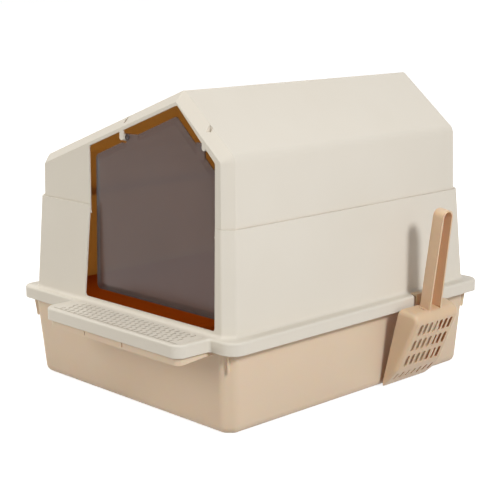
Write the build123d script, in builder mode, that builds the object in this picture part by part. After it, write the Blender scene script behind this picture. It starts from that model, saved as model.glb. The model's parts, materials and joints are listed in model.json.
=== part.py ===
from build123d import *
from math import cos, radians, sin, sqrt
import os

# Foldable covered litter box, in millimetres.
# The origin is the centre of the tray's underside, +Z is up and the doorway faces -Y.
# The tray carries a frame, the hood slides down inside the frame to fold the box,
# and a smoky clear flap hangs in two hooks under the hood's front gable.

# Walls and clearances
tray_wall = 2.6
frame_wall = 2.4
hood_wall = 2.2
fit_gap = 0.3

# Tray
tray_side_setback = 24.4
tray_end_setback = 14.9
tray_slope = 0.068
tray_corner = 14.0
tray_corner_soft = 13.0
tray_bottom_radius = 12.0
tray_rim_thickness = 2.6
corner_rib_thickness = 2.6
corner_rib_top_reach = 6.0
corner_rib_foot_reach = 4.4
corner_rib_depth = 42.0

# Frame that sits over the tray's rim
flange_width = 460.6
flange_depth = 507.4
flange_radius = 20.0
flange_top = 129.9
flange_lip = 17.2
flange_edge_radius = 3.2
frame_side_shelf = 25.9
frame_end_shelf = 18.0
frame_slope = 0.057
frame_corner = 13.4
frame_corner_soft = 5.0
frame_foot_radius = 5.0
seam_height = 265.3

# Step in front of the doorway, its grate and the chute under it
doorway_offset = 182.3
step_left_reach = 145.5
step_right_reach = 140.0
step_length = 51.8
step_taper = 0.03
step_radius = 14.0
step_root_radius = 4.0
grate_left_border = 13.5
grate_right_border = 8.5
grate_front_border = 6.5
grate_radius = 5.0
grate_thickness = 2.4
grate_ledge = 4.0
grate_slot_width = 2.2
grate_slot_pitch = 10.4
grate_row_margin = 1.3
grate_rows = 4
grate_slot_margin = 8.0
grate_rib_height = 3.6
grate_rib_width = 1.6
grate_seat = 1.8
chute_inset = 5.0
chute_height = 23.0
chute_fall = 0.09
chute_radius = 10.0
chute_slit = 1.6
chute_slit_shifts = (-58.5, 22.0)

# Doorway in the frame and in the hood
sill_rise = 6.0
sill_radius = 4.5
frame_door_left_foot_reach = 133.5
frame_door_left_top_reach = 125.0
frame_door_right_foot_reach = 137.5
frame_door_right_top_reach = 132.5
hood_door_left_reach = 128.5
hood_door_right_reach = 129.0
hood_door_shoulder_drop = 17.5
hood_door_apex_shift = 57.8
hood_door_apex_rise = 50.0
hood_door_radius = 5.0

# Hood
ridge_shift = 58.2
ridge_rise = 68.5
left_roof_fall = 0.361328
right_roof_fall = 0.82384
hood_slope = 0.018
hood_gap = 1.0
hood_overlap = 12.0
hood_corner = 12.8
ridge_radius = 7.0
hood_fold_radius = 3.0
eave_radius = 16.0
roof_hole_setback = 5.0
roof_hole_depth = 10.0
roof_hole_margin = 1.0
roof_hole_rise = 19.0

# Flap and its two pivots
flap_setback = 6.7
flap_thickness = 2.6
flap_bevel = 9.0
flap_bevel_depth = 1.2
flap_sill_gap = 8.7
flap_left_foot_reach = 128.5
flap_right_foot_reach = 129.5
flap_left_shoulder_reach = 121.0
flap_left_shoulder_drop = 29.5
flap_right_shoulder_reach = 123.0
flap_right_shoulder_drop = 30.5
flap_apex_shift = 50.5
flap_apex_rise = 35.0
flap_radius = 7.0
pivot_height = 364.0
pivot_radius = 2.3
pivot_ring = 2.3
ear_rise = 5.0
left_ear_shift = -52.0
left_ear_length = 24.0
right_ear_shift = 104.0
right_ear_length = 15.0
hook_width = 7.6
hook_gap = 0.6
hook_snap = 4.0
hook_plate_rise = 14.0
hook_notch_depth = 8.2
ear_boss_radius = 3.4
ear_boss_length = 6.0

# Scoop, seen from the front of the box: it hangs on the right side
scoop_centre_y = 106.5
scoop_width = 106.0
scoop_draft = 0.21
scoop_fan = 0.0545
scoop_wall = 2.2
scoop_gap = 8.7
scoop_hang = 1.6
scoop_depth = 33.0
scoop_top_angle = 10.0
scoop_face_angle = 24.0
scoop_face_length = 94.0
scoop_tip_shift = (-28.2, -116.9)
scoop_top_radius = 12.0
scoop_side_radius = 7.0
scoop_bend_radius = 40.0
scoop_tip_radius = 2.5
scoop_tip_cut = (13.0, 17.0)
scoop_tip_nick = (2.5, 4.0)
scoop_tip_flare = 0.25
scoop_slot_count = 7
scoop_slot_width = 6.3
scoop_slot_length = 19.5
scoop_slot_pitches = (10.9, 11.25, 11.6)
scoop_row_pitch = 26.3
scoop_row_start = 26.0
tip_slot_pitch = 12.9
tip_slot_width = 3.4
tip_slot_length = 15.0
tip_slot_start = 15.5
handle_band = 19.0
handle_thickness = 2.4
handle_web = 2.2
handle_edge_radius = 3.0
handle_length = 143.0
handle_lean = 7.75
handle_base_half = 12.2
handle_top_half = 9.8
handle_base_shift = (12.6, -2.0)
handle_root = 13.0
root_slot_width = 2.0
root_slot_length = 11.0
root_slot_gap = 3.5
root_slot_reach = 12.5

# Hook that carries the scoop, clipped through a notch in the frame's flange
clip_plate = 2.2
clip_width = 14.0
notch_margin = 2.0
notch_depth = 4.4
clip_gap = 0.6
clip_reach = 11.0
clip_drop = 23.0
clip_arm = 13.0
clip_tip = 5.6
finger_gap = 0.6
finger_reach = 8.5
clip_edge_radius = 0.5

# Sizes that follow from the ones above. Reaches and shifts across the box are measured
# from the doorway's middle, rises and drops from the flap's pivots.
tray_width = flange_width - 2 * tray_side_setback
tray_depth = flange_depth - 2 * tray_end_setback
frame_top_width = flange_width - 2 * frame_side_shelf
frame_top_depth = flange_depth - 2 * frame_end_shelf
doorway_x = flange_width / 2 - doorway_offset
flange_underside = flange_top - frame_wall
flange_bottom = flange_top - flange_lip
tray_height = flange_underside - fit_gap
rim_inset = frame_wall + fit_gap
step_left = doorway_x - step_left_reach
step_right = doorway_x + step_right_reach
step_front = flange_depth / 2 + step_length
chute_front = step_front - chute_inset
rim_underside = tray_height - tray_rim_thickness
chute_floor = rim_underside - chute_height
chute_slits = (doorway_x + chute_slit_shifts[0], doorway_x + chute_slit_shifts[1])
grate_left = step_left + grate_left_border
grate_right = step_right - grate_right_border
grate_front = step_front - grate_front_border
grate_back = flange_depth / 2 + fit_gap
grate_middle = ((grate_left + grate_right) / 2, -(grate_front + grate_back) / 2)
grate_size = (grate_right - grate_left, grate_front - grate_back)
grate_row_pitch = (grate_size[1] - 2 * grate_row_margin) / grate_rows
grate_slot_length = grate_row_pitch - grate_rib_width
sill_height = flange_top + sill_rise
frame_door_left_foot = doorway_x - frame_door_left_foot_reach
frame_door_left_top = doorway_x - frame_door_left_top_reach
frame_door_right_foot = doorway_x + frame_door_right_foot_reach
frame_door_right_top = doorway_x + frame_door_right_top_reach
hood_door_left = doorway_x - hood_door_left_reach
hood_door_right = doorway_x + hood_door_right_reach
hood_door_shoulder = pivot_height - hood_door_shoulder_drop
hood_door_apex_x = doorway_x + hood_door_apex_shift
hood_door_apex_z = pivot_height + hood_door_apex_rise
ridge_x = doorway_x + ridge_shift
ridge_height = pivot_height + ridge_rise
hood_seam_half_width = frame_top_width / 2 - frame_wall - hood_gap
hood_seam_half_depth = frame_top_depth / 2 - frame_wall - hood_gap
left_eave = ridge_height - left_roof_fall * (hood_seam_half_width + ridge_x)
right_eave = ridge_height - right_roof_fall * (hood_seam_half_width - ridge_x)
hood_bottom = seam_height - hood_overlap
roof_hole_floor = pivot_height + roof_hole_rise
roof_hole_back = roof_hole_setback + roof_hole_depth
flap_bottom = sill_height + flap_sill_gap
flap_left_foot = doorway_x - flap_left_foot_reach
flap_right_foot = doorway_x + flap_right_foot_reach
flap_left_shoulder_x = doorway_x - flap_left_shoulder_reach
flap_left_shoulder_z = pivot_height - flap_left_shoulder_drop
flap_right_shoulder_x = doorway_x + flap_right_shoulder_reach
flap_right_shoulder_z = pivot_height - flap_right_shoulder_drop
flap_apex_x = doorway_x + flap_apex_shift
flap_apex_z = pivot_height + flap_apex_rise
left_ear_end = doorway_x + left_ear_shift
right_ear_end = doorway_x + right_ear_shift
flap_front = hood_seam_half_depth - flap_setback
pivot_y = flap_front - flap_thickness / 2
pivot_bore = pivot_radius + fit_gap
hook_radius = pivot_bore + pivot_ring
left_hook_middle = left_ear_end - hook_gap - hook_width / 2
right_hook_middle = right_ear_end + hook_gap + hook_width / 2
face_turn = radians(scoop_face_angle)
top_turn = radians(scoop_top_angle)
scoop_outward = (cos(face_turn), -sin(face_turn))
clip_foot = flange_top - clip_drop
clip_tip_top = clip_foot + clip_plate + clip_tip
scoop_rim_top = (flange_width / 2 + scoop_gap, clip_tip_top + scoop_wall + scoop_hang)
scoop_tip = (scoop_rim_top[0] + scoop_tip_shift[0], scoop_rim_top[1] + scoop_tip_shift[1])
handle_base = (scoop_rim_top[0] + handle_base_shift[0], scoop_rim_top[1] + handle_base_shift[1])
scoop_fold = (
    scoop_rim_top[0] + scoop_depth * cos(top_turn),
    scoop_rim_top[1] - scoop_depth * sin(top_turn),
)
scoop_bend = (
    scoop_fold[0] - scoop_face_length * sin(face_turn),
    scoop_fold[1] - scoop_face_length * cos(face_turn),
)
scoop_tip_run = (scoop_tip[0] - scoop_bend[0], scoop_tip[1] - scoop_bend[1])
scoop_tip_length = sqrt(scoop_tip_run[0] ** 2 + scoop_tip_run[1] ** 2)
clip_inside = flange_width / 2 + clip_gap
clip_outside = clip_inside + clip_plate
clip_top = flange_top + clip_plate
clip_side = scoop_centre_y - clip_width / 2
notch_left = flange_width / 2 - notch_depth
notch_width = clip_width + 2 * notch_margin
finger_left = notch_left + clip_gap
finger_end = finger_left - finger_reach


def tray_half(size, height):
    """Half of the tray's width or depth at a height, which grows with the wall's slope."""
    return size / 2 + tray_slope * height


def frame_half(size, height):
    """Half of the frame's width or depth at a height, which shrinks towards the seam."""
    return size / 2 + frame_slope * (seam_height - height)


def hood_half(half_size, height):
    """Half of the hood's width or depth at a height, which shrinks towards the ridge."""
    return half_size - hood_slope * (height - seam_height)


def walled_outline(height, half_width, half_depth, corner, soft):
    """Rectangle with cut corners whose edges are softened, at a height."""
    with BuildSketch(Plane.XY.offset(height)) as outline:
        Rectangle(2 * half_width, 2 * half_depth)
        chamfer(outline.vertices(), length=corner)
        fillet(outline.vertices(), radius=soft)
    return outline.sketch


def tray_outline(height, inset):
    """Outline of the tray at a height, moved inwards from its outer face."""
    half_width = tray_half(tray_width, height) - inset
    half_depth = tray_half(tray_depth, height) - inset
    return walled_outline(height, half_width, half_depth, tray_corner, tray_corner_soft)


def frame_outline(height, inset):
    """Outline of the frame's wall at a height, moved inwards from its outer face."""
    half_width = frame_half(frame_top_width, height) - inset
    half_depth = frame_half(frame_top_depth, height) - inset
    return walled_outline(height, half_width, half_depth, frame_corner, frame_corner_soft)


def step_outline(height, inset, corner):
    """Step that narrows to its rounded front corners, moved inwards from its outer face."""
    narrowing = step_taper * step_length
    with BuildSketch(Plane.XY.offset(height)) as outline:
        with BuildLine():
            Polyline(
                (step_left - narrowing, step_length - flange_depth / 2),
                (step_left + narrowing, -step_front),
                (step_right - narrowing, -step_front),
                (step_right + narrowing, step_length - flange_depth / 2),
                close=True,
            )
        make_face()
        offset(amount=-inset, kind=Kind.INTERSECTION)
        fillet(outline.vertices().group_by(Axis.Y)[0], radius=corner)
    return outline.sketch


def flange_outline(height, inset):
    """Flange and step as one outline, moved inwards from their outer face."""
    with BuildSketch(Plane.XY.offset(height)) as outline:
        RectangleRounded(flange_width - 2 * inset, flange_depth - 2 * inset, flange_radius - inset)
        add(step_outline(0, inset, step_radius - inset))
        front_corners = outline.vertices().group_by(Axis.Y)[2].sort_by(Axis.X)
        fillet(front_corners[1:3], radius=step_root_radius + inset)
    return outline.sketch


def tub_shape(inset, top):
    """Tray's drafted tub as a solid with a rounded bottom edge, moved inwards."""
    with BuildPart() as shape:
        loft([tray_outline(inset, inset), tray_outline(top, inset)])
        fillet(shape.edges().group_by(Axis.Z)[0], radius=tray_bottom_radius - inset)
    return shape.part


def chute_shape(inset, lid):
    """Trough under the step whose floor falls to its front, up to a lid height."""
    floor = Plane(
        origin=(0, -chute_front, chute_floor + inset),
        x_dir=(1, 0, 0),
        z_dir=(0, -chute_fall, 1),
    )
    with BuildPart() as shape:
        extrude(step_outline(0, chute_inset + inset, chute_radius - inset), amount=lid)
        split(bisect_by=floor, keep=Keep.TOP)
    return shape.part


def grate_outline(height, margin):
    """Outline of the grate's pocket at a height, grown or shrunk by a margin."""
    with BuildSketch(Plane.XY.offset(height)) as outline:
        with Locations(grate_middle):
            RectangleRounded(grate_size[0] + 2 * margin, grate_size[1] + 2 * margin, grate_radius + margin)
    return outline.sketch


def hood_plane(side, setback):
    """Sloping plane of the hood's front (-1) or rear (+1) wall, moved inwards, with its y up."""
    return Plane(
        origin=(0, side * (hood_seam_half_depth - setback), seam_height),
        x_dir=(1, 0, 0),
        z_dir=(0, -1, -side * hood_slope),
    )


def gable_outline(plane, inset, foot):
    """Front view of the hood: drafted walls, a long left slope and a short right slope."""
    low = foot - seam_height - inset
    foot_half = hood_half(hood_seam_half_width, foot - inset)
    left_half = hood_half(hood_seam_half_width, left_eave)
    right_half = hood_half(hood_seam_half_width, right_eave)
    with BuildSketch(plane) as outline:
        with BuildLine():
            Polyline(
                (-foot_half, low),
                (foot_half, low),
                (right_half, right_eave - seam_height),
                (ridge_x, ridge_height - seam_height),
                (-left_half, left_eave - seam_height),
                close=True,
            )
        make_face()
        if inset > 0:
            offset(amount=-inset, kind=Kind.INTERSECTION)
        fillet(outline.vertices().sort_by(Axis.Y)[2:4], radius=max(eave_radius - inset, hood_fold_radius))
        fillet(outline.vertices().sort_by(Axis.Y)[-1], radius=max(ridge_radius - inset, hood_fold_radius))
    return outline.sketch


def gable_block(inset, foot):
    """Hood as a solid with cut front and rear edges, moved inwards from its outer face."""
    edge = hood_corner - 0.6 * inset
    with BuildPart() as block:
        loft(
            [
                gable_outline(hood_plane(-1, inset), inset + edge, foot),
                gable_outline(hood_plane(-1, inset + edge), inset, foot),
                gable_outline(hood_plane(1, inset + edge), inset, foot),
                gable_outline(hood_plane(1, inset), inset + edge, foot),
            ],
            ruled=True,
        )
    return block.part


def pointed_outline(plane, points, radius):
    """Closed outline through corner points, with every corner rounded."""
    with BuildSketch(plane) as outline:
        with BuildLine():
            Polyline(*points, close=True)
        make_face()
        fillet(outline.vertices(), radius=radius)
    return outline.sketch


def flap_outline(depth, margin):
    """Five-sided flap on an upright plane, shrunk by a margin."""
    points = [
        (flap_left_foot, flap_bottom),
        (flap_right_foot, flap_bottom),
        (flap_right_shoulder_x, flap_right_shoulder_z),
        (flap_apex_x, flap_apex_z),
        (flap_left_shoulder_x, flap_left_shoulder_z),
    ]
    with BuildSketch(Plane.XZ.offset(depth)) as outline:
        with BuildLine():
            Polyline(*points, close=True)
        make_face()
        if margin > 0:
            offset(amount=-margin, kind=Kind.INTERSECTION)
        fillet(outline.vertices(), radius=flap_radius)
    return outline.sketch


def hook_shape(middle):
    """Tab that hangs from the front gable and carries an open ring for the flap's pin."""
    with BuildPart() as shape:
        with BuildSketch(hood_plane(-1, 0)):
            with Locations((middle, pivot_height - seam_height)):
                Circle(hook_width / 2)
                Rectangle(hook_width, hook_plate_rise, align=(Align.CENTER, Align.MIN))
        extrude(amount=-hood_wall)
        with BuildSketch(Plane.YZ.offset(middle)):
            with Locations((-pivot_y, pivot_height)):
                Circle(hook_radius)
        extrude(amount=hook_width / 2, both=True)
        with BuildSketch(Plane.YZ.offset(middle)):
            with Locations((-pivot_y, pivot_height)):
                Circle(pivot_bore)
                Rectangle(hook_snap, 2 * hook_radius, align=(Align.CENTER, Align.MIN))
        extrude(amount=hook_width / 2, both=True, mode=Mode.SUBTRACT)
        with BuildSketch(Plane.XY.offset(roof_hole_floor - hood_wall)):
            with Locations((middle, -hood_seam_half_depth)):
                Rectangle(hook_width, roof_hole_back + hood_wall, align=(Align.CENTER, Align.MIN))
        extrude(amount=ridge_height - roof_hole_floor)
        add(gable_block(0, hood_bottom), mode=Mode.INTERSECT)
    return shape.part


def scoop_side(side, inset):
    """Plane of the scoop's left (-1) or right (+1) wall, drafted and fanned, moved inwards."""
    lean = Vector(scoop_outward[0], 0, scoop_outward[1]) * scoop_draft
    fan = Vector(-scoop_outward[1], 0, scoop_outward[0]) * scoop_fan
    rim_y = scoop_centre_y + side * scoop_width / 2
    face = Plane(
        origin=(scoop_rim_top[0], rim_y, scoop_rim_top[1]),
        z_dir=lean + fan + Vector(0, side, 0),
    )
    return face.offset(-inset)


def bowl_shape(inset, reach):
    """Scoop bowl as a solid, moved inwards, with its open side pushed out by a reach."""
    rim_point = (scoop_rim_top[0] - reach * cos(top_turn), scoop_rim_top[1] + reach * sin(top_turn))
    stretch = 1 + reach / scoop_tip_length
    tip_point = (scoop_bend[0] + stretch * scoop_tip_run[0], scoop_bend[1] + stretch * scoop_tip_run[1])
    with BuildPart() as shape:
        with BuildSketch(Plane.XZ.offset(-scoop_centre_y)) as profile:
            with BuildLine():
                Polyline(rim_point, scoop_fold, scoop_bend, tip_point, close=True)
            make_face()
            if inset > 0:
                offset(amount=-inset, kind=Kind.INTERSECTION)
            fillet(profile.vertices().sort_by(Axis.Y)[2], radius=scoop_top_radius - inset)
            fillet(profile.vertices().sort_by(Axis.Y)[1], radius=scoop_bend_radius - inset)
        extrude(amount=scoop_width, both=True)
        split(bisect_by=scoop_side(-1, inset), keep=Keep.BOTTOM)
        split(bisect_by=scoop_side(1, inset), keep=Keep.BOTTOM)
        faces = shape.faces().sort_by(Axis.Y)
        rounded = [edge for face in (faces[0], faces[-1]) for edge in face.edges().sort_by(SortBy.LENGTH)[:-1]]
        fillet(rounded, radius=scoop_side_radius - inset)
    return shape.part


def arch_outline(plane, inset):
    """Handle seen from the side, two straight legs and a round top, moved inwards."""
    shoulder = handle_length - handle_top_half - handle_thickness / 2
    base = handle_base_half + handle_thickness / 2 - inset
    top = handle_top_half + handle_thickness / 2 - inset
    with BuildSketch(plane) as outline:
        with BuildLine():
            Polyline((-top, shoulder), (-base, -handle_root), (base, -handle_root), (top, shoulder))
            ThreePointArc((top, shoulder), (0, shoulder + top), (-top, shoulder))
        make_face()
    return outline.sketch


def handle_shape(plane):
    """Handle as a channel: a strap bent to an arch, with a thin web on the box's side."""
    with BuildPart() as shape:
        extrude(arch_outline(plane, 0), amount=handle_band / 2, both=True)
        web_face = shape.faces().sort_by(Axis(plane.origin, plane.z_dir))[0]
        fillet(web_face.edges().sort_by(Axis.Z)[1:], radius=handle_edge_radius)
        hollow = plane.offset(handle_web - handle_band / 2)
        extrude(arch_outline(hollow, handle_thickness), amount=handle_band, mode=Mode.SUBTRACT)
    return shape.part


os.makedirs("parts", exist_ok=True)

# Tray: drafted tub with a flat rim, ribs under the rim at its corners and a chute in front
corner_x = tray_half(tray_width, 0) - tray_corner / 2
corner_y = tray_half(tray_depth, 0) - tray_corner / 2
corner_growth = sqrt(2) * tray_slope
rib_foot = tray_height - corner_rib_depth
with BuildPart() as tray:
    add(tub_shape(0, tray_height))
    with BuildSketch(Plane.XY.offset(rim_underside)):
        RectangleRounded(flange_width - 2 * rim_inset, flange_depth - 2 * rim_inset, flange_radius - rim_inset)
    extrude(amount=tray_rim_thickness)
    add(chute_shape(0, rim_underside))
    for side_x, side_y in ((1, 1), (1, -1), (-1, -1), (-1, 1)):
        corner_plane = Plane(
            origin=(side_x * corner_x, side_y * corner_y, 0),
            x_dir=(side_x, side_y, 0),
            z_dir=(side_y, -side_x, 0),
        )
        with BuildSketch(corner_plane):
            with BuildLine():
                Polyline(
                    (0, rib_foot),
                    (corner_growth * rib_foot + corner_rib_foot_reach, rib_foot),
                    (corner_growth * rim_underside + corner_rib_top_reach, rim_underside),
                    (0, rim_underside),
                    close=True,
                )
            make_face()
        extrude(amount=corner_rib_thickness / 2, both=True)
    add(tub_shape(tray_wall, tray_height + 1), mode=Mode.SUBTRACT)
    add(chute_shape(tray_wall, flange_top), mode=Mode.SUBTRACT)
    with BuildSketch(Plane.XY.offset(chute_floor + tray_wall)):
        for slit_x in chute_slits:
            with Locations((slit_x, -chute_front)):
                Rectangle(chute_slit, 4 * tray_wall)
    extrude(amount=chute_height, mode=Mode.SUBTRACT)
    with BuildSketch(Plane.XY.offset(rim_underside)):
        with Locations((finger_end - notch_margin, scoop_centre_y)):
            Rectangle(flange_width, notch_width, align=(Align.MIN, Align.CENTER))
    extrude(amount=tray_rim_thickness, mode=Mode.SUBTRACT)
tray.part.label = "tray"
export_step(tray.part, "parts/tray.step")

# Middle frame: flange and step that cap the tray's rim, a drafted wall with the doorway,
# a pocket for the grate and a notch for the scoop's hook
grate_floor = flange_top - grate_thickness
ledge_floor = grate_floor - grate_seat
with BuildPart() as middle_frame:
    extrude(flange_outline(flange_bottom, 0), amount=flange_lip)
    fillet(middle_frame.edges().group_by(Axis.Z)[-1], radius=flange_edge_radius)
    loft([frame_outline(flange_underside, 0), frame_outline(seam_height, 0)])
    flange_face = middle_frame.faces().filter_by(Plane.XY).sort_by(Axis.Z)[-2]
    fillet(flange_face.inner_wires()[0].edges(), radius=frame_foot_radius)
    extrude(flange_outline(flange_bottom, frame_wall), amount=flange_lip - frame_wall, mode=Mode.SUBTRACT)
    loft(
        [frame_outline(flange_underside - 1, frame_wall), frame_outline(seam_height + 1, frame_wall)],
        mode=Mode.SUBTRACT,
    )
    with BuildSketch(Plane.XZ.offset(frame_top_depth / 2)) as doorway:
        with BuildLine():
            Polyline(
                (frame_door_left_foot, sill_height),
                (frame_door_right_foot, sill_height),
                (frame_door_right_top, seam_height),
                (frame_door_right_top, seam_height + 1),
                (frame_door_left_top, seam_height + 1),
                (frame_door_left_top, seam_height),
                close=True,
            )
        make_face()
        fillet(doorway.vertices().group_by(Axis.Y)[0], radius=sill_radius)
    extrude(amount=4 * frame_wall, both=True, mode=Mode.SUBTRACT)
    extrude(grate_outline(ledge_floor, frame_wall), amount=grate_seat + grate_thickness / 2)
    extrude(grate_outline(grate_floor, fit_gap), amount=grate_thickness + 1, mode=Mode.SUBTRACT)
    extrude(grate_outline(ledge_floor, -grate_ledge), amount=grate_seat, mode=Mode.SUBTRACT)
    with BuildSketch(Plane.XY.offset(flange_bottom)):
        with Locations((notch_left, scoop_centre_y)):
            Rectangle(2 * notch_depth, notch_width, align=(Align.MIN, Align.CENTER))
    extrude(amount=flange_lip, mode=Mode.SUBTRACT)
middle_frame.part.label = "middle_frame"
export_step(middle_frame.part, "parts/middle_frame.step")

# Hood: folded gable shell that slides down inside the frame, with two moulded hooks
door_points = [
    (hood_door_left, hood_bottom - 1),
    (hood_door_right, hood_bottom - 1),
    (hood_door_right, hood_door_shoulder),
    (hood_door_apex_x, hood_door_apex_z),
    (hood_door_left, hood_door_shoulder),
]
hole_middle_y = -(hood_seam_half_depth - roof_hole_back + roof_hole_depth / 2)
with BuildPart() as hood:
    add(gable_block(0, hood_bottom))
    add(gable_block(hood_wall, hood_bottom - 20), mode=Mode.SUBTRACT)
    extrude(
        pointed_outline(Plane.XZ.offset(hood_seam_half_depth), door_points, hood_door_radius),
        amount=3 * hood_wall,
        both=True,
        mode=Mode.SUBTRACT,
    )
    add(hook_shape(left_hook_middle))
    add(hook_shape(right_hook_middle))
    with BuildSketch(Plane.XY.offset(roof_hole_floor)):
        with Locations((left_hook_middle, hole_middle_y), (right_hook_middle, hole_middle_y)):
            Rectangle(hook_width - 2 * roof_hole_margin, roof_hole_depth)
    extrude(amount=ridge_height - roof_hole_floor, mode=Mode.SUBTRACT)
hood.part.label = "hood"
export_step(hood.part, "parts/hood.step")

# Step grate: slotted plate that drops into the step's pocket, stiffened underneath
slot_run = grate_size[0] - 2 * grate_slot_margin
slot_count = int(slot_run / grate_slot_pitch)
with BuildPart() as step_grate:
    extrude(grate_outline(grate_floor, 0), amount=grate_thickness)
    with BuildSketch(Plane.XY.offset(grate_floor)):
        with Locations(grate_middle):
            with GridLocations(0, grate_row_pitch, 1, grate_rows - 1):
                Rectangle(grate_size[0] - 4 * grate_ledge, grate_rib_width)
    extrude(amount=-grate_rib_height)
    with BuildSketch(Plane.XY.offset(grate_floor)):
        for shift in (-1, 1):
            row_x = grate_middle[0] + shift * grate_slot_pitch / 4
            with Locations((row_x, grate_middle[1] + shift * grate_row_pitch / 2)):
                with GridLocations(grate_slot_pitch, 2 * grate_row_pitch, slot_count, grate_rows // 2):
                    Rectangle(grate_slot_width, grate_slot_length)
    extrude(amount=grate_thickness, mode=Mode.SUBTRACT)
step_grate.part.label = "step_grate"
export_step(step_grate.part, "parts/step_grate.step")

# Door flap: five-sided clear panel with a bevelled border, two ears and two pins
ear_top = pivot_height + ear_rise
ear_foot = pivot_height - 2 * hook_notch_depth
with BuildPart() as door_flap:
    extrude(flap_outline(flap_front - flap_bevel_depth, 0), amount=flap_bevel_depth - flap_thickness)
    loft([flap_outline(flap_front - flap_bevel_depth, 0), flap_outline(flap_front, flap_bevel)], ruled=True)
    with BuildSketch(Plane.XZ.offset(flap_front - flap_thickness)):
        with Locations((left_ear_end, ear_foot)):
            Rectangle(left_ear_length, ear_top - ear_foot, align=(Align.MIN, Align.MIN))
        with Locations((right_ear_end, ear_foot)):
            Rectangle(right_ear_length, ear_top - ear_foot, align=(Align.MAX, Align.MIN))
    extrude(amount=flap_thickness)
    with BuildSketch(Plane.XZ.offset(flap_front)):
        with Locations((left_ear_end, pivot_height - hook_notch_depth)):
            Rectangle(hook_width + 3 * hook_gap, 2 * hook_notch_depth, align=(Align.MAX, Align.MIN))
    extrude(amount=-flap_thickness, mode=Mode.SUBTRACT)
    with BuildSketch(Plane.YZ.offset(left_ear_end)):
        with Locations((-pivot_y, pivot_height)):
            Circle(ear_boss_radius)
    extrude(amount=ear_boss_length)
    with BuildSketch(Plane.YZ.offset(left_ear_end)):
        with Locations((-pivot_y, pivot_height)):
            Circle(pivot_radius)
    extrude(amount=-hook_gap - hook_width)
    with BuildSketch(Plane.YZ.offset(right_ear_end)):
        with Locations((-pivot_y, pivot_height)):
            Circle(ear_boss_radius)
    extrude(amount=-ear_boss_length)
    with BuildSketch(Plane.YZ.offset(right_ear_end)):
        with Locations((-pivot_y, pivot_height)):
            Circle(pivot_radius)
    extrude(amount=hook_gap + hook_width)
door_flap.part.label = "door_flap"
export_step(door_flap.part, "parts/door_flap.step")

# Scoop: slotted bowl with a bent tip, hung face down beside the tray, and a strap handle
face_plane = Plane(
    origin=(scoop_fold[0], scoop_centre_y, scoop_fold[1]),
    x_dir=(0, 1, 0),
    z_dir=(scoop_outward[0], 0, scoop_outward[1]),
)
tip_plane = Plane(
    origin=(scoop_bend[0], scoop_centre_y, scoop_bend[1]),
    x_dir=(0, 1, 0),
    z_dir=(-scoop_tip_run[1], 0, scoop_tip_run[0]),
)
top_plane = Plane(
    origin=(scoop_rim_top[0], scoop_centre_y, scoop_rim_top[1]),
    x_dir=(0, 1, 0),
    z_dir=(sin(top_turn), 0, cos(top_turn)),
)
handle_plane = Plane(
    origin=(handle_base[0], scoop_centre_y, handle_base[1]),
    x_dir=(0, 1, 0),
    z_dir=(cos(radians(handle_lean)), 0, -sin(radians(handle_lean))),
)
root_slot_y = handle_base_half + handle_thickness / 2 + root_slot_gap + root_slot_width / 2
rim_to_tip = Vector(scoop_tip[0] - scoop_rim_top[0], 0, scoop_tip[1] - scoop_rim_top[1])
tip_draft = scoop_draft * rim_to_tip.dot(Vector(scoop_outward[0], 0, scoop_outward[1]))
tip_fan = scoop_fan * rim_to_tip.dot(Vector(-scoop_outward[1], 0, scoop_outward[0]))
tip_half = scoop_width / 2 - tip_draft - tip_fan
trim_half = tip_half + scoop_tip_flare * scoop_face_length
with BuildPart() as scoop:
    add(bowl_shape(0, 0))
    with BuildSketch(tip_plane) as tip_trim:
        with BuildLine():
            Polyline(
                (-tip_half, scoop_tip_nick[1] - scoop_tip_length),
                (scoop_tip_nick[0] - tip_half, -scoop_tip_length),
                (tip_half - scoop_tip_cut[0], -scoop_tip_length),
                (tip_half, scoop_tip_cut[1] - scoop_tip_length),
                (trim_half, scoop_face_length - scoop_tip_length),
                (trim_half, 4 * scoop_width),
                (-trim_half, 4 * scoop_width),
                (-trim_half, scoop_face_length - scoop_tip_length),
                close=True,
            )
        make_face()
        fillet(tip_trim.vertices().group_by(Axis.Y)[0], radius=scoop_tip_radius)
    extrude(amount=scoop_width, both=True, mode=Mode.INTERSECT)
    add(handle_shape(handle_plane))
    add(bowl_shape(scoop_wall, scoop_depth), mode=Mode.SUBTRACT)
    with BuildSketch(face_plane):
        for row, slot_pitch in enumerate(scoop_slot_pitches):
            with Locations((0, -scoop_row_start - row * scoop_row_pitch)):
                with GridLocations(slot_pitch, 0, scoop_slot_count, 1):
                    SlotOverall(scoop_slot_length, scoop_slot_width, rotation=90)
    extrude(amount=-2 * scoop_wall, mode=Mode.SUBTRACT)
    with BuildSketch(tip_plane):
        with Locations((0, -tip_slot_start)):
            with GridLocations(tip_slot_pitch, 0, scoop_slot_count, 1):
                SlotOverall(tip_slot_length, tip_slot_width, rotation=90)
    extrude(amount=-2 * scoop_wall, mode=Mode.SUBTRACT)
    with BuildSketch(top_plane):
        with Locations((-root_slot_y, -root_slot_reach), (root_slot_y, -root_slot_reach)):
            Rectangle(root_slot_width, root_slot_length)
    extrude(amount=-2 * scoop_wall, mode=Mode.SUBTRACT)
scoop.part.label = "scoop"
export_step(scoop.part, "parts/scoop.step")

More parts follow.
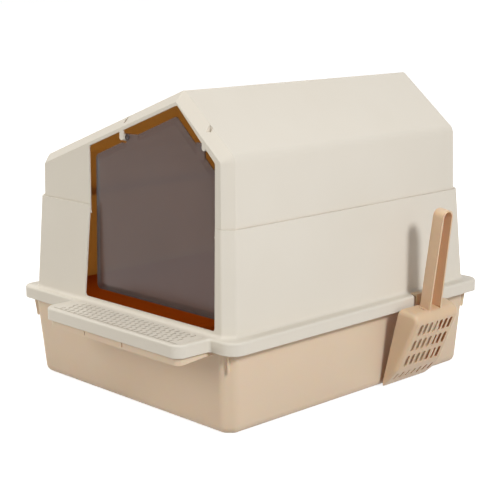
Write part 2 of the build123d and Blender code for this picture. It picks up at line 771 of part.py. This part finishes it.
# Scoop hook: bent clip that grips the flange and reaches under the scoop's top wall
arm_end = clip_outside + clip_arm
arm_top = clip_foot + clip_plate
finger_foot = flange_underside - finger_gap - clip_plate
with BuildPart() as scoop_hook:
    with BuildSketch(Plane.XZ.offset(-clip_side)) as clip_profile:
        with BuildLine():
            Polyline(
                (clip_outside - clip_reach, flange_top),
                (clip_outside - clip_reach, clip_top),
                (clip_outside, clip_top),
                (clip_outside, arm_top),
                (arm_end - clip_plate, arm_top),
                (arm_end - clip_plate, arm_top + clip_tip),
                (arm_end, arm_top + clip_tip),
                (arm_end, clip_foot),
                (clip_inside, clip_foot),
                (clip_inside, flange_top),
                (finger_left + clip_plate, flange_top),
                (finger_left + clip_plate, finger_foot),
                (finger_end, finger_foot),
                (finger_end, finger_foot + clip_plate),
                (finger_left, finger_foot + clip_plate),
                (finger_left, flange_top),
                close=True,
            )
        make_face()
        fillet(clip_profile.vertices(), radius=clip_edge_radius)
    extrude(amount=-clip_width)
scoop_hook.part.label = "scoop_hook"
export_step(scoop_hook.part, "parts/scoop_hook.step")
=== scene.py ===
"""Looks of the foldable litter box: moulded plastics, smoky flap, studio floor, lamps and camera.

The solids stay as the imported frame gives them. Each node gets its finish, and the studio is
set up around the box, with the camera where the photograph was taken from.
"""

import json
import logging
import math
from dataclasses import dataclass, field
from enum import Enum

import bpy
import numpy as np
from mathutils import Matrix, Vector

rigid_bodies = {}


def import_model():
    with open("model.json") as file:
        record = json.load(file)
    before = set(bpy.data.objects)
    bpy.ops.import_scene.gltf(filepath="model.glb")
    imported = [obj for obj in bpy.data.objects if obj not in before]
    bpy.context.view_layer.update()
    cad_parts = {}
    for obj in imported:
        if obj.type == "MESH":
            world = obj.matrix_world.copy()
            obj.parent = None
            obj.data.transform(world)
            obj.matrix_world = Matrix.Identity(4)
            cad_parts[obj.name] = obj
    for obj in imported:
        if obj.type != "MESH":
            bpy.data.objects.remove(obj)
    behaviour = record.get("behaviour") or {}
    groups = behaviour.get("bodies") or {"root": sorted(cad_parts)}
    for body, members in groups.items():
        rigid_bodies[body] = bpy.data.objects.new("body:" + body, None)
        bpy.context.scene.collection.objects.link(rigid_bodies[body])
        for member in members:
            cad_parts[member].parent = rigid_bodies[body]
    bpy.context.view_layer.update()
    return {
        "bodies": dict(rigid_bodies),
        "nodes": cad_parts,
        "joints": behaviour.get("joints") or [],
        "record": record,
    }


log = logging.getLogger("litter_box")

Colour = tuple[float, float, float]
Place = tuple[float, float, float]
Span = tuple[float, float]
Node = bpy.types.ShaderNode
Socket = bpy.types.NodeSocket

WHITE: Colour = (1.0, 1.0, 1.0)


class Inside(Enum):
    """Which faces of a shell count as its inside."""

    NOWHERE = "nowhere"
    WALLS = "walls"
    WALLS_AND_ROOF = "walls and roof"
    WALLS_AND_FLOOR = "walls and floor"


class Reading(Enum):
    """What a finish reads at a point of the surface."""

    POSITION = "Object"
    FACING = "Normal"


class Shader:
    """A node tree that is filled in small steps, so that each finish reads as a recipe."""

    # A Mix node has sockets for every kind of value. These are the ones for colours.
    MIX_SHARE = 0
    MIX_FIRST = 6
    MIX_SECOND = 7
    MIX_RESULT = 2

    def __init__(self, name: str) -> None:
        """Starts an empty material.

        Args:
            name: name of the material.
        """
        self.material = bpy.data.materials.new(name)
        self.material.use_nodes = True
        self.tree = self.material.node_tree
        self.tree.nodes.clear()
        self.coordinates = self.add("ShaderNodeTexCoord")

    def add(self, kind: str, **settings: object) -> Node:
        """Adds a node.

        Args:
            kind: Blender's name of the node.
            settings: attributes that are set on it.

        Returns:
            The new node.
        """
        node = self.tree.nodes.new(kind)
        for key, value in settings.items():
            setattr(node, key, value)
        return node

    def feed(self, target: Socket, source: Socket | float | tuple) -> None:
        """Links a socket to another one, or sets its value.

        Args:
            target: input socket.
            source: output socket, number or colour.
        """
        if isinstance(source, bpy.types.NodeSocket):
            self.tree.links.new(source, target)
        else:
            target.default_value = source

    def axes(self, reading: Reading) -> Node:
        """Splits the position or the facing into its three axes.

        Args:
            reading: what is split.

        Returns:
            Node with the outputs X, Y and Z.
        """
        node = self.add("ShaderNodeSeparateXYZ")
        self.feed(node.inputs[0], self.coordinates.outputs[reading.value])
        return node

    def calculate(
        self, operation: str, *values: Socket | float, clamp: bool = False
    ) -> Socket:
        """One step of arithmetic.

        Args:
            operation: Blender's name of the operation.
            values: sockets or numbers that go in.
            clamp: keeps the result between 0 and 1.

        Returns:
            The result's socket.
        """
        node = self.add("ShaderNodeMath", operation=operation, use_clamp=clamp)
        for socket, value in zip(node.inputs, values):
            self.feed(socket, value)
        return node.outputs[0]

    def noise(self, scale: float, detail: float = 3.0) -> Socket:
        """Noise on Object coordinates.

        Args:
            scale: features per metre.
            detail: octaves.

        Returns:
            The noise's value.
        """
        node = self.add("ShaderNodeTexNoise")
        self.feed(node.inputs["Vector"], self.coordinates.outputs["Object"])
        node.inputs["Scale"].default_value = scale
        node.inputs["Detail"].default_value = detail
        return node.outputs["Fac"]

    def spread(
        self, value: Socket, low: float, high: float, start: float = 0.3, stop: float = 0.7
    ) -> Socket:
        """Maps a value's middle range onto a new range, and holds the ends outside it.

        Args:
            value: socket that is mapped.
            low: result at the start.
            high: result at the stop.
            start: value that gives the low end.
            stop: value that gives the high end.

        Returns:
            The mapped value.
        """
        node = self.add("ShaderNodeMapRange")
        self.feed(node.inputs["Value"], value)
        ends = {"From Min": start, "From Max": stop, "To Min": low, "To Max": high}
        for key, number in ends.items():
            node.inputs[key].default_value = number
        return node.outputs["Result"]

    def mix(
        self, share: Socket | float, first: Socket | Colour, second: Socket | Colour
    ) -> Socket:
        """Mixes two colours.

        Args:
            share: share of the second one.
            first: colour at 0.
            second: colour at 1.

        Returns:
            The mixed colour.
        """
        node = self.add("ShaderNodeMix", data_type="RGBA")
        self.feed(node.inputs[self.MIX_SHARE], share)
        for number, value in ((self.MIX_FIRST, first), (self.MIX_SECOND, second)):
            self.feed(node.inputs[number], (*value, 1.0) if isinstance(value, tuple) else value)
        return node.outputs[self.MIX_RESULT]

    def bump(
        self, height: Socket, distance: float, strength: float, normal: Socket | None = None
    ) -> Socket:
        """Raises a surface in its shading.

        Args:
            height: height from 0 to 1.
            distance: metres that a height of 1 stands for.
            strength: share of the effect.
            normal: normal that is bumped further.

        Returns:
            The new normal.
        """
        node = self.add("ShaderNodeBump")
        node.inputs["Distance"].default_value = distance
        node.inputs["Strength"].default_value = strength
        self.feed(node.inputs["Height"], height)
        if normal is not None:
            self.feed(node.inputs["Normal"], normal)
        return node.outputs["Normal"]

    def finish(self, surface: Socket) -> bpy.types.Material:
        """Connects the surface to the output.

        Args:
            surface: shader that is shown.

        Returns:
            The finished material.
        """
        output = self.add("ShaderNodeOutputMaterial")
        self.feed(output.inputs["Surface"], surface)
        return self.material


@dataclass(frozen=True)
class MouldedPlastic:
    """Opaque injection-moulded plastic with a fine spark-eroded grain.

    Colours are linear and lengths are metres. The tone drifts over the part, the gloss is a
    little uneven, the surface waves gently where it cooled, and its edges look rounded.
    Faces on the inside of a shell take a painted warm shade with painted bounce light, and
    let light through. Below low_height the inside takes a darker painted shade. A part with
    slots can take a painted shade on the walls of its slots and along its front border.
    scatter is the share of the light that spreads below the surface.
    """

    name: str
    colour: Colour
    deep_colour: Colour
    # painted warm shade and bounce light for faces on the inside of the shell
    painted_inner_light: Colour
    drift: float = 5.0
    scatter: float = 0.0
    scatter_spread: Colour = (1.0, 0.45, 0.2)
    scatter_depth: float = 0.006
    refraction: float = 1.46
    specular: float = 0.42

    inside: Inside = Inside.NOWHERE
    inner_front: float = -0.226
    front_blend: float = 0.001
    middle: Span = (0.0, 0.0)
    inner_start: Span = (-0.06, -0.03)
    roof_weight: float = 0.2
    floor_height: float = 0.1
    floor_blend: float = 0.005
    level: Span = (0.5, 0.7)
    light_through: Span = (0.03, 0.3)
    through_colour: Colour = (0.9, 0.6, 0.25)

    # painted shade low in a hollow, below low_height
    painted_low_shade: Colour | None = None
    low_height: float = 0.0
    low_blend: float = 0.002
    # painted shade on the walls of slots and along the front border
    painted_cut_shade: Colour | None = None
    cut_front: float = 0.0
    cut_blend: float = 0.0004

    roughness: Span = (0.4, 0.5)
    gloss: float = 38.0
    gloss_detail: float = 4.0
    wave: float = 9.0
    wave_detail: float = 1.0
    wave_depth: float = 0.0012
    wave_strength: float = 0.35
    grain: float = 2600.0
    grain_detail: float = 2.0
    grain_depth: float = 0.00006
    grain_strength: float = 0.3
    edge_radius: float = 0.0007
    edge_samples: int = 4

    def painted_inner_share(self, shader: Shader) -> Socket | float:
        """Share of the painted inner shade and bounce light: 1 where a face behind the front wall
        looks at the middle.

        A wall's outward look is (x - middle x) * normal x + (y - middle y) * normal y. It is
        below zero on the inside, and roof_weight * normal z brings the roof's underside in.

        Args:
            shader: tree that gets the nodes.

        Returns:
            The share.
        """
        if self.inside is Inside.NOWHERE:
            return 0.0
        place = shader.axes(Reading.POSITION)
        facing = shader.axes(Reading.FACING)
        sideways = shader.calculate("SUBTRACT", place.outputs["X"], self.middle[0])
        lengthways = shader.calculate("SUBTRACT", place.outputs["Y"], self.middle[1])
        across = shader.calculate("MULTIPLY", sideways, facing.outputs["X"])
        along = shader.calculate("MULTIPLY", lengthways, facing.outputs["Y"])
        outward = shader.calculate("ADD", across, along)
        if self.inside is Inside.WALLS_AND_ROOF:
            roof = shader.calculate("MULTIPLY", facing.outputs["Z"], self.roof_weight)
            outward = shader.calculate("ADD", outward, roof)
        share = shader.spread(outward, 1.0, 0.0, *self.inner_start)
        if self.inside is Inside.WALLS_AND_FLOOR:
            up = shader.spread(facing.outputs["Z"], 0.0, 1.0, *self.level)
            floor_start = self.floor_height - self.floor_blend
            low = shader.spread(place.outputs["Z"], 1.0, 0.0, floor_start, self.floor_height)
            share = shader.calculate("MAXIMUM", share, shader.calculate("MULTIPLY", up, low))
        front_start = self.inner_front - self.front_blend
        behind = shader.spread(place.outputs["Y"], 0.0, 1.0, front_start, self.inner_front)
        return shader.calculate("MULTIPLY", share, behind, clamp=True)

    def painted_inner_tone(self, shader: Shader) -> Socket | Colour:
        """Painted shade and bounce light of the inside, which changes to a darker painted shade
        below its height.

        Args:
            shader: tree that gets the nodes.

        Returns:
            The inner colour.
        """
        if self.painted_low_shade is None:
            return self.painted_inner_light
        place = shader.axes(Reading.POSITION)
        low_start = self.low_height - self.low_blend
        low = shader.spread(place.outputs["Z"], 1.0, 0.0, low_start, self.low_height)
        return shader.mix(low, self.painted_inner_light, self.painted_low_shade)

    def painted_cut_share(self, shader: Shader) -> Socket:
        """Share of the painted shade: 1 on upright walls and along the front border.

        Args:
            shader: tree that gets the nodes.

        Returns:
            The share.
        """
        place = shader.axes(Reading.POSITION)
        facing = shader.axes(Reading.FACING)
        flat = shader.calculate("ABSOLUTE", facing.outputs["Z"])
        upright = shader.spread(flat, 1.0, 0.0, *self.level)
        border_end = self.cut_front + self.cut_blend
        border = shader.spread(place.outputs["Y"], 1.0, 0.0, self.cut_front, border_end)
        return shader.calculate("MAXIMUM", upright, border, clamp=True)

    def relief(self, shader: Shader) -> Socket:
        """Rounded edges, then the gentle wave, then the fine grain.

        Args:
            shader: tree that gets the nodes.

        Returns:
            The normal.
        """
        soft_edge = shader.add("ShaderNodeBevel", samples=self.edge_samples)
        soft_edge.inputs["Radius"].default_value = self.edge_radius
        waves = shader.noise(self.wave, self.wave_detail)
        grains = shader.noise(self.grain, self.grain_detail)
        waved = shader.bump(
            waves, self.wave_depth, self.wave_strength, soft_edge.outputs["Normal"]
        )
        return shader.bump(grains, self.grain_depth, self.grain_strength, waved)

    def make(self) -> bpy.types.Material:
        """Builds the material.

        Returns:
            The finished material.
        """
        shader = Shader(self.name)
        tone = shader.spread(shader.noise(self.drift), 0.0, 1.0)
        inner = self.painted_inner_share(shader)
        colour = shader.mix(tone, self.colour, self.deep_colour)
        # painted warm shade and bounce light on the inside faces
        colour = shader.mix(inner, colour, self.painted_inner_tone(shader))
        # painted shade on slot walls and along the front border
        if self.painted_cut_shade is not None:
            colour = shader.mix(self.painted_cut_share(shader), colour, self.painted_cut_shade)
        body = shader.add("ShaderNodeBsdfPrincipled")
        shader.feed(body.inputs["Base Color"], colour)
        gloss = shader.noise(self.gloss, self.gloss_detail)
        shader.feed(body.inputs["Roughness"], shader.spread(gloss, *self.roughness))
        body.inputs["IOR"].default_value = self.refraction
        body.inputs["Specular IOR Level"].default_value = self.specular
        body.inputs["Subsurface Weight"].default_value = self.scatter
        body.inputs["Subsurface Radius"].default_value = self.scatter_spread
        body.inputs["Subsurface Scale"].default_value = self.scatter_depth
        shader.feed(body.inputs["Normal"], self.relief(shader))
        if self.inside is Inside.NOWHERE:
            return shader.finish(body.outputs[0])
        lit_through = shader.add("ShaderNodeBsdfTranslucent")
        lit_through.inputs["Color"].default_value = (*self.through_colour, 1.0)
        both = shader.add("ShaderNodeMixShader")
        shader.feed(both.inputs[0], shader.spread(inner, *self.light_through, 0.0, 1.0))
        shader.feed(both.inputs[1], body.outputs[0])
        shader.feed(both.inputs[2], lit_through.outputs[0])
        return shader.finish(both.outputs[0])


@dataclass(frozen=True)
class SmokyClear:
    """Tinted clear plastic: part of the light passes, the rest shows a warm grey sheen.

    Colours are linear and lengths are metres. The flap's bevelled border is told from its
    panel by the way that it faces. The border's left run and the thin rim take a painted
    bluish reflection. Its foot takes painted shade, darker and browner above foot_line and
    bluish below it. Its head and right run stay as clear as the panel.
    """

    name: str
    colour: Colour = (0.13, 0.08, 0.07)
    deep_share: float = 0.86
    drift: float = 7.0
    # painted bluish reflection on the border's left run and the thin rim
    rim_reflection: Colour = (0.155, 0.168, 0.195)
    # painted shade on the border's foot, below foot_line and above it
    foot_low_shade: Colour = (0.075, 0.083, 0.09)
    foot_shade: Colour = (0.055, 0.042, 0.04)
    foot_line: float = 0.1483
    foot_blend: float = 0.0006
    panel_facing: Span = (0.992, 0.998)
    rim_facing: Span = (0.6, 0.7)
    foot_facing: Span = (-0.1, -0.05)
    head_facing: Span = (0.03, 0.06)
    opacity: float = 0.68
    refraction: float = 1.5
    roughness: Span = (0.16, 0.24)
    gloss: float = 30.0
    wave: float = 14.0
    wave_detail: float = 1.0
    wave_depth: float = 0.0008
    wave_strength: float = 0.25

    def tint(self, shader: Shader) -> Socket:
        """Colour of the panel, and the painted shade and reflection of its border.

        Args:
            shader: tree that gets the nodes.

        Returns:
            The colour.
        """
        tone = shader.spread(shader.noise(self.drift), 0.0, 1.0)
        deep_colour = tuple(self.deep_share * part for part in self.colour)
        clear = shader.mix(tone, self.colour, deep_colour)
        place = shader.axes(Reading.POSITION)
        facing = shader.axes(Reading.FACING)
        flat = shader.calculate("ABSOLUTE", facing.outputs["Y"])
        foot = shader.spread(facing.outputs["Z"], 1.0, 0.0, *self.foot_facing)
        foot_start = self.foot_line - self.foot_blend
        foot_stop = self.foot_line + self.foot_blend
        above = shader.spread(place.outputs["Z"], 0.0, 1.0, foot_start, foot_stop)
        # painted shade on the foot, painted bluish reflection on the left run and the thin rim
        foot_tone = shader.mix(above, self.foot_low_shade, self.foot_shade)
        border = shader.mix(foot, self.rim_reflection, foot_tone)
        head = shader.spread(facing.outputs["Z"], 0.0, 1.0, *self.head_facing)
        right = shader.spread(facing.outputs["X"], 0.0, 1.0, *self.head_facing)
        bevel = shader.spread(flat, 0.0, 1.0, *self.rim_facing)
        head_or_right = shader.calculate("MAXIMUM", head, right)
        border = shader.mix(shader.calculate("MULTIPLY", bevel, head_or_right), border, clear)
        leaning = shader.spread(flat, 1.0, 0.0, *self.panel_facing)
        return shader.mix(leaning, clear, border)

    def make(self) -> bpy.types.Material:
        """Builds the material.

        Returns:
            The finished material.
        """
        shader = Shader(self.name)
        body = shader.add("ShaderNodeBsdfPrincipled")
        shader.feed(body.inputs["Base Color"], self.tint(shader))
        gloss = shader.noise(self.gloss)
        shader.feed(body.inputs["Roughness"], shader.spread(gloss, *self.roughness))
        body.inputs["IOR"].default_value = self.refraction
        body.inputs["Alpha"].default_value = self.opacity
        waves = shader.noise(self.wave, self.wave_detail)
        waved = shader.bump(waves, self.wave_depth, self.wave_strength)
        shader.feed(body.inputs["Normal"], waved)
        return shader.finish(body.outputs[0])


@dataclass(frozen=True)
class StudioPaper:
    """Pale floor that keeps the box's soft shadow and fades to white away from the box."""

    name: str
    colour: Colour = (0.55, 0.54, 0.53)
    deep_share: float = 0.97
    grain: float = 60.0
    grain_share: float = 0.04
    lift: float = 0.83
    fade: Span = (0.3, 0.75)

    def make(self) -> bpy.types.Material:
        """Builds the material.

        Returns:
            The finished material.
        """
        shader = Shader(self.name)
        body = shader.add("ShaderNodeBsdfDiffuse")
        grains = shader.spread(shader.noise(self.grain), 0.0, self.grain_share)
        deep_colour = tuple(self.deep_share * part for part in self.colour)
        shader.feed(body.inputs["Color"], shader.mix(grains, self.colour, deep_colour))
        glow = shader.add("ShaderNodeEmission")
        glow.inputs["Color"].default_value = (*WHITE, 1.0)
        rays = shader.add("ShaderNodeLightPath").outputs
        seen = shader.calculate("MAXIMUM", rays["Is Camera Ray"], rays["Is Glossy Ray"])
        seen = shader.calculate("MAXIMUM", seen, rays["Is Transmission Ray"])
        away = shader.add("ShaderNodeVectorMath", operation="LENGTH")
        shader.feed(away.inputs[0], shader.coordinates.outputs["Object"])
        fading = shader.spread(away.outputs["Value"], self.lift, 1.0, *self.fade)
        shader.feed(glow.inputs["Strength"], shader.calculate("MULTIPLY", seen, fading))
        both = shader.add("ShaderNodeAddShader")
        shader.feed(both.inputs[0], body.outputs[0])
        shader.feed(both.inputs[1], glow.outputs[0])
        return shader.finish(both.outputs[0])


@dataclass
class LitterBox:
    """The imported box, whose nodes get their finishes."""

    nodes: dict[str, bpy.types.Object]
    cream: Colour = (0.78, 0.735, 0.65)
    cream_deep: Colour = (0.755, 0.705, 0.615)
    peach: Colour = (0.79, 0.64, 0.482)
    peach_deep: Colour = (0.765, 0.613, 0.454)
    scoop_peach: Colour = (0.765, 0.565, 0.38)
    scoop_deep: Colour = (0.74, 0.54, 0.355)
    # painted bounce light on the inside faces of the scoop and its handle
    scoop_bounce_light: Colour = (0.82, 0.57, 0.37)
    # painted shade low in the scoop's hollow
    scoop_hollow_shade: Colour = (0.5, 0.235, 0.125)
    # painted shade and bounce light inside the hood, frame and grate
    inner_bounce_shade: Colour = (0.44, 0.32, 0.18)
    # painted shade and bounce light inside the tray
    tray_bounce_shade: Colour = (0.33, 0.085, 0.025)
    slot_shade: Colour = (0.47, 0.42, 0.34)

    def finishes(self) -> dict[str, bpy.types.Material]:
        """Makes each node's material.

        Returns:
            Material by node name.
        """
        shell = MouldedPlastic(
            "cream_hood", self.cream, self.cream_deep, self.inner_bounce_shade,
            inside=Inside.WALLS_AND_ROOF,
        ).make()
        frame = MouldedPlastic(
            "cream_frame", self.cream, self.cream_deep, self.inner_bounce_shade,
            inside=Inside.WALLS,
        ).make()
        tray = MouldedPlastic(
            "peach_tray", self.peach, self.peach_deep, self.tray_bounce_shade, scatter=0.3,
            inside=Inside.WALLS_AND_FLOOR, inner_front=-0.31, floor_height=0.112,
            through_colour=(0.9, 0.4, 0.1),
        ).make()
        plate = MouldedPlastic(
            "cream_grate", self.cream, self.cream_deep, self.inner_bounce_shade,
            painted_cut_shade=self.slot_shade, cut_front=-0.2975, edge_radius=0.0003,
        ).make()
        scoop = MouldedPlastic(
            "peach_scoop", self.scoop_peach, self.scoop_deep, self.scoop_bounce_light, scatter=0.3,
            inside=Inside.WALLS, middle=(0.215, 0.1065), inner_start=(-0.006, -0.003),
            light_through=(0.03, 0.15), painted_low_shade=self.scoop_hollow_shade, low_height=0.1175,
            roughness=(0.32, 0.42),
        ).make()
        return {
            "hood": shell,
            "middle_frame": frame,
            "tray": tray,
            "step_grate": plate,
            "scoop": scoop,
            "scoop_hook": scoop,
            "door_flap": SmokyClear("smoky_flap").make(),
        }

    def dress(self) -> None:
        """Gives each CAD node its finish."""
        for name, material in self.finishes().items():
            piece = self.nodes[name]
            piece.data.materials.clear()
            piece.data.materials.append(material)
            log.info("%s wears %s", name, material.name)


@dataclass
class Lamp:
    """A round studio lamp that looks at the box. Lengths are metres and power is watts."""

    name: str
    direction: Place
    distance: float
    size: float
    power: float
    colour: Colour = WHITE

    def hang(self, target: Vector) -> None:
        """Places the lamp.

        Args:
            target: point that it looks at.
        """
        data = bpy.data.lights.new(self.name, "AREA")
        data.shape = "DISK"
        data.size = self.size
        data.energy = self.power
        data.color = self.colour
        lamp = bpy.data.objects.new(self.name, data)
        towards = Vector(self.direction).normalized()
        lamp.location = target + towards * self.distance
        lamp.rotation_mode = "QUATERNION"
        lamp.rotation_quaternion = (-towards).to_track_quat("-Z", "Y")
        bpy.context.scene.collection.objects.link(lamp)
        log.info("lamp %s hangs", self.name)


@dataclass
class Studio:
    """Floor, world, lamps and the camera at the photograph's angle.

    Lengths are metres, but the lens and the sensor are millimetres, and angles are degrees.
    """

    azimuth: float = 46.257
    elevation: float = 11.963
    roll: float = -0.448
    place: Place = (1.32247, -1.26849, 0.56504)
    lens: float = 91.06
    sensor: float = 36.0
    sight: Span = (0.05, 200.0)
    floor_half: float = 30.0
    floor_drop: float = 0.0003
    ambient: float = 0.2
    ambient_colour: Colour = (1.0, 0.98, 0.95)
    target: Place = (0.0, 0.0, 0.2)
    lamps: list[Lamp] = field(default_factory=lambda: [
        Lamp("key", (0.864, -0.15, 0.48), 3.0, 0.6, 49.0, (0.99, 1.0, 1.01)),
        Lamp("side_fill", (1.0, 0.15, 0.03), 3.2, 2.2, 5.0, (1.0, 0.985, 0.96)),
        Lamp("front_fill", (-0.45, -1.0, 0.5), 3.2, 2.2, 39.0, (1.0, 0.965, 0.9)),
        Lamp("top", (-0.4, 0.0, 1.0), 3.0, 2.4, 35.0, (1.0, 0.99, 0.97)),
    ])

    def lay_floor(self) -> None:
        """Lays the floor: a flat square grid of two by two points just under the tray."""
        side = np.array([-self.floor_half, self.floor_half])
        across, along = np.meshgrid(side, side)
        height = np.full_like(across, -self.floor_drop)
        points = np.stack([across, along, height], axis=-1).reshape(-1, 3)
        mesh = bpy.data.meshes.new("floor")
        mesh.from_pydata(points.tolist(), [], [(0, 1, 3, 2)])
        floor = bpy.data.objects.new("floor", mesh)
        bpy.context.scene.collection.objects.link(floor)
        mesh.materials.append(StudioPaper("studio_paper").make())
        log.info("floor laid")

    def surround(self) -> None:
        """Sets the world: white where it is seen, and a soft level where it lights."""
        world = bpy.data.worlds.new("studio")
        bpy.context.scene.world = world
        world.use_nodes = True
        tree = world.node_tree
        tree.nodes.clear()
        rays = tree.nodes.new("ShaderNodeLightPath")
        seen = rays.outputs["Is Camera Ray"]
        for kind in ("Is Transmission Ray", "Is Glossy Ray"):
            either = tree.nodes.new("ShaderNodeMath")
            either.operation = "MAXIMUM"
            tree.links.new(seen, either.inputs[0])
            tree.links.new(rays.outputs[kind], either.inputs[1])
            seen = either.outputs[0]
        chosen = tree.nodes.new("ShaderNodeMixShader")
        tree.links.new(seen, chosen.inputs[0])
        shades = ((self.ambient_colour, self.ambient), (WHITE, 1.0))
        for number, (colour, strength) in enumerate(shades, start=1):
            shade = tree.nodes.new("ShaderNodeBackground")
            shade.inputs["Color"].default_value = (*colour, 1.0)
            shade.inputs["Strength"].default_value = strength
            tree.links.new(shade.outputs[0], chosen.inputs[number])
        output = tree.nodes.new("ShaderNodeOutputWorld")
        tree.links.new(chosen.outputs[0], output.inputs["Surface"])
        log.info("world set")

    def hang_lamps(self) -> None:
        """Hangs the lamps around the box."""
        for lamp in self.lamps:
            lamp.hang(Vector(self.target))

    def aim(self) -> None:
        """Sets the camera up from its azimuth, elevation and roll.

        It looks along (-sin a * cos e, cos a * cos e, -sin e) for the azimuth a and the
        elevation e, and its right and up axes are then turned about that line by the roll.
        """
        turn, rise, roll = np.radians([self.azimuth, self.elevation, self.roll]).tolist()
        level = math.cos(rise)
        forward = np.array([-math.sin(turn) * level, math.cos(turn) * level, -math.sin(rise)])
        right = np.array([math.cos(turn), math.sin(turn), 0.0])
        up = np.cross(right, forward)
        rolled_right = right * math.cos(roll) + up * math.sin(roll)
        rolled_up = up * math.cos(roll) - right * math.sin(roll)
        data = bpy.data.cameras.new("photo_camera")
        data.lens = self.lens
        data.sensor_width = self.sensor
        data.clip_start, data.clip_end = self.sight
        camera = bpy.data.objects.new("photo_camera", data)
        turned = Matrix(np.stack([rolled_right, rolled_up, -forward], axis=1).tolist())
        camera.matrix_world = Matrix.Translation(self.place) @ turned.to_4x4()
        bpy.context.scene.collection.objects.link(camera)
        bpy.context.scene.camera = camera
        bpy.context.scene.view_settings.view_transform = "Standard"
        log.info("camera aimed")


def main() -> None:
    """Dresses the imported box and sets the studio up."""
    logging.basicConfig(level=logging.INFO)
    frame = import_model()
    LitterBox(frame["nodes"]).dress()
    studio = Studio()
    studio.lay_floor()
    studio.surround()
    studio.hang_lamps()
    studio.aim()


if __name__ == "__main__":
    main()
